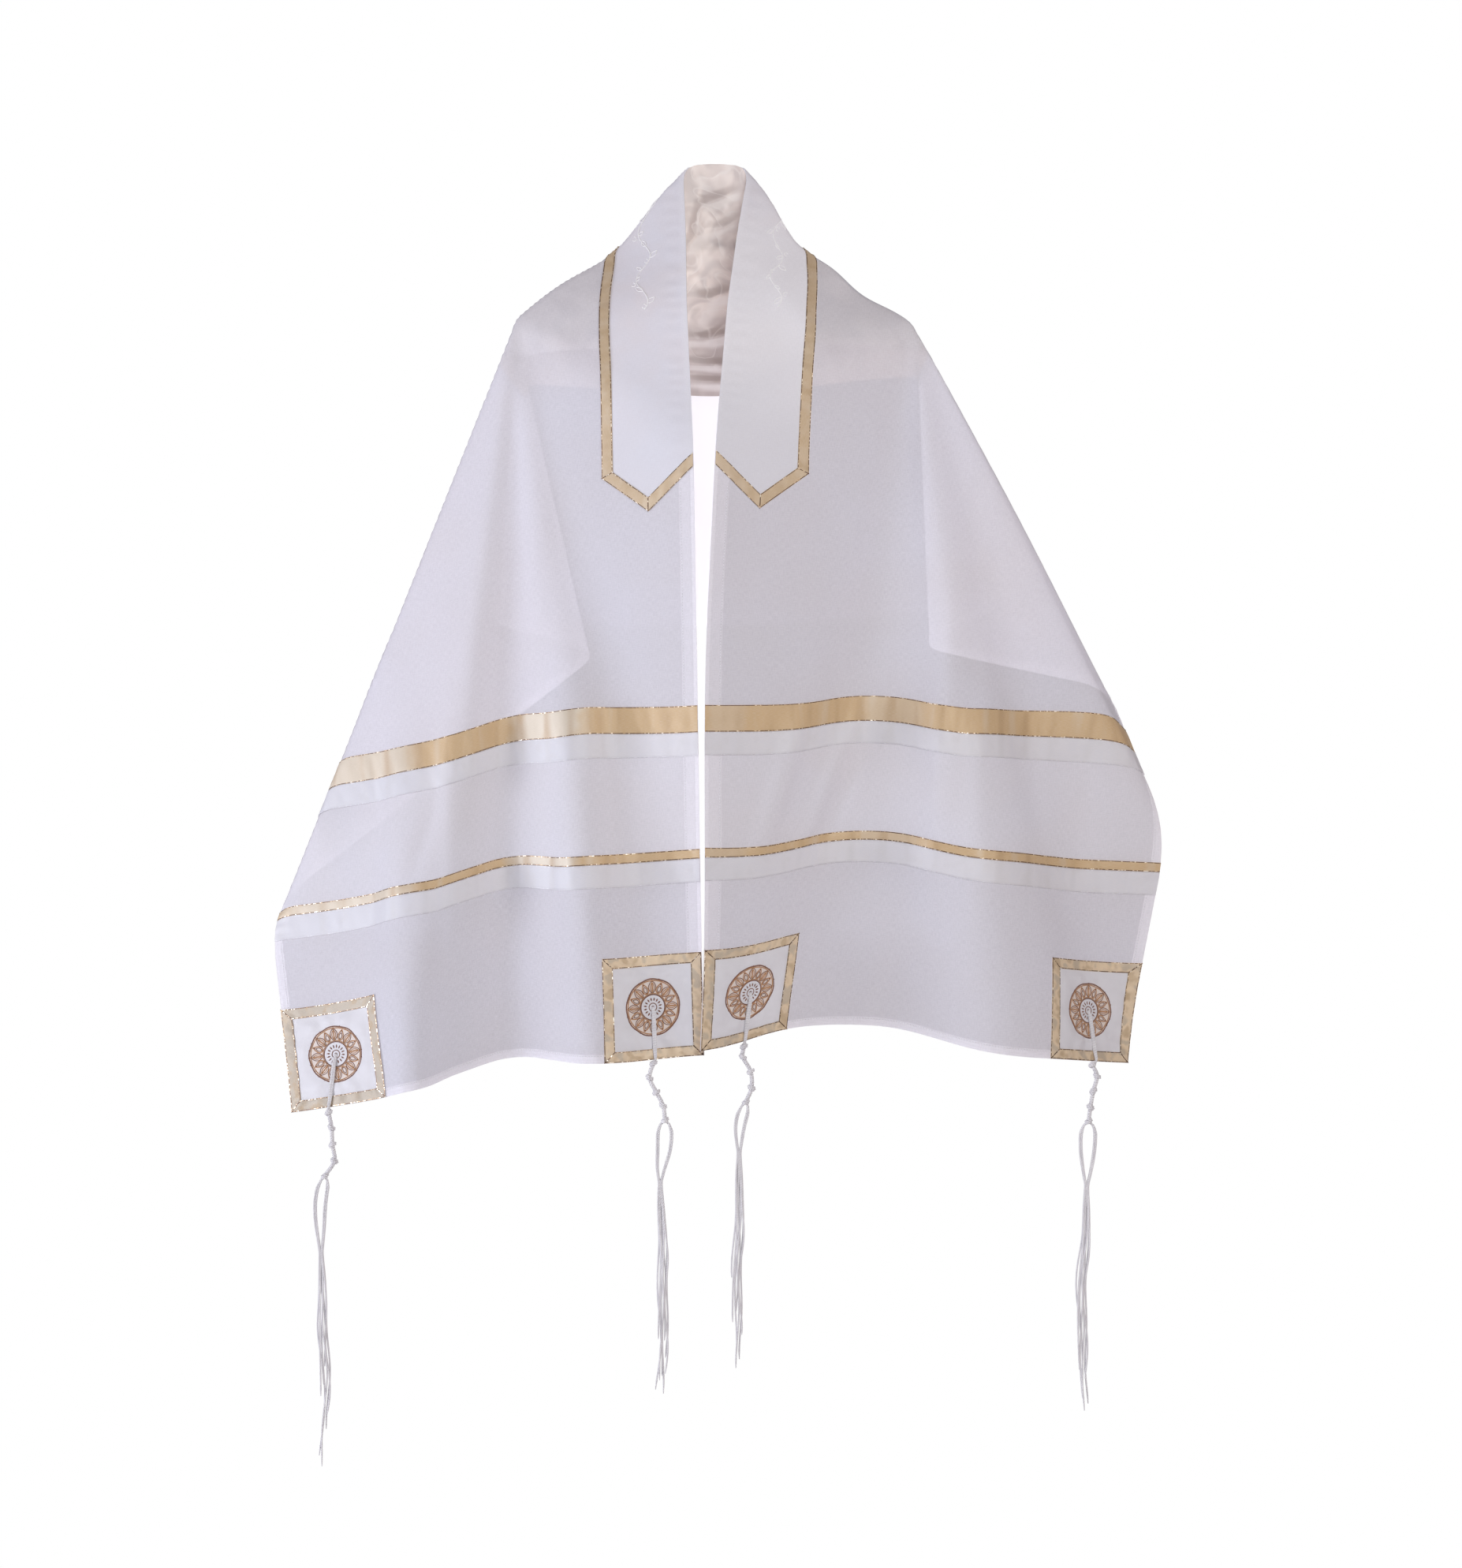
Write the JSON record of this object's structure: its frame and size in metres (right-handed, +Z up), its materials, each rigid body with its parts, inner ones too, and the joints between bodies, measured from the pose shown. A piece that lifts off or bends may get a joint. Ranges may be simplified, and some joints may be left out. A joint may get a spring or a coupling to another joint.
{
  "type": "tallit prayer shawl",
  "caption": "Long sheer prayer shawl worn over the shoulders, with gold ribbon bands, a banded neck, square corner patches and knotted corner tassels.",
  "frame": {"origin": "halfway between the two shoulder points, on the line where the cloth lies on the wearer's shoulders", "axes": "+Z up, -Y towards the front, +X to the right as seen from the front"},
  "size_m": [0.9583, 0.2021, 1.3929],
  "materials": {
    "voile": "sheer plain-woven voile, matt with a faint sheen",
    "band_voile": "denser white voile, matt",
    "neckband_cloth": "white voile with white scroll embroidery",
    "gold_ribbon": "champagne satin ribbon with fine metallic edge lines",
    "white_ribbon": "white woven ribbon, satin",
    "lining_satin": "ivory satin",
    "patch_cloth": "white cloth with copper-brown embroidery",
    "tassel_thread": "off-white twisted thread"
  },
  "bodies": {
    "root": {"centre_panel": "voile", "band_panel_left": "band_voile", "end_panel_left": "voile", "band_panel_right": "band_voile", "end_panel_right": "voile", "neckband": "neckband_cloth", "neckband_ribbon": "gold_ribbon", "neck_lining": "lining_satin", "wide_gold_ribbon_left": "gold_ribbon", "wide_white_ribbon_left": "white_ribbon", "narrow_gold_ribbon_left": "gold_ribbon", "narrow_white_ribbon_left": "white_ribbon", "patch_left_inner": "patch_cloth", "patch_ribbon_left_inner": "gold_ribbon", "patch_left_outer": "patch_cloth", "patch_ribbon_left_outer": "gold_ribbon", "wide_gold_ribbon_right": "gold_ribbon", "wide_white_ribbon_right": "white_ribbon", "narrow_gold_ribbon_right": "gold_ribbon", "narrow_white_ribbon_right": "white_ribbon", "patch_right_inner": "patch_cloth", "patch_ribbon_right_inner": "gold_ribbon", "patch_right_outer": "patch_cloth", "patch_ribbon_right_outer": "gold_ribbon", "tassel_left_outer": "tassel_thread", "tassel_left_inner": "tassel_thread", "tassel_right_inner": "tassel_thread", "tassel_right_outer": "tassel_thread"}
  },
  "joints": []
}
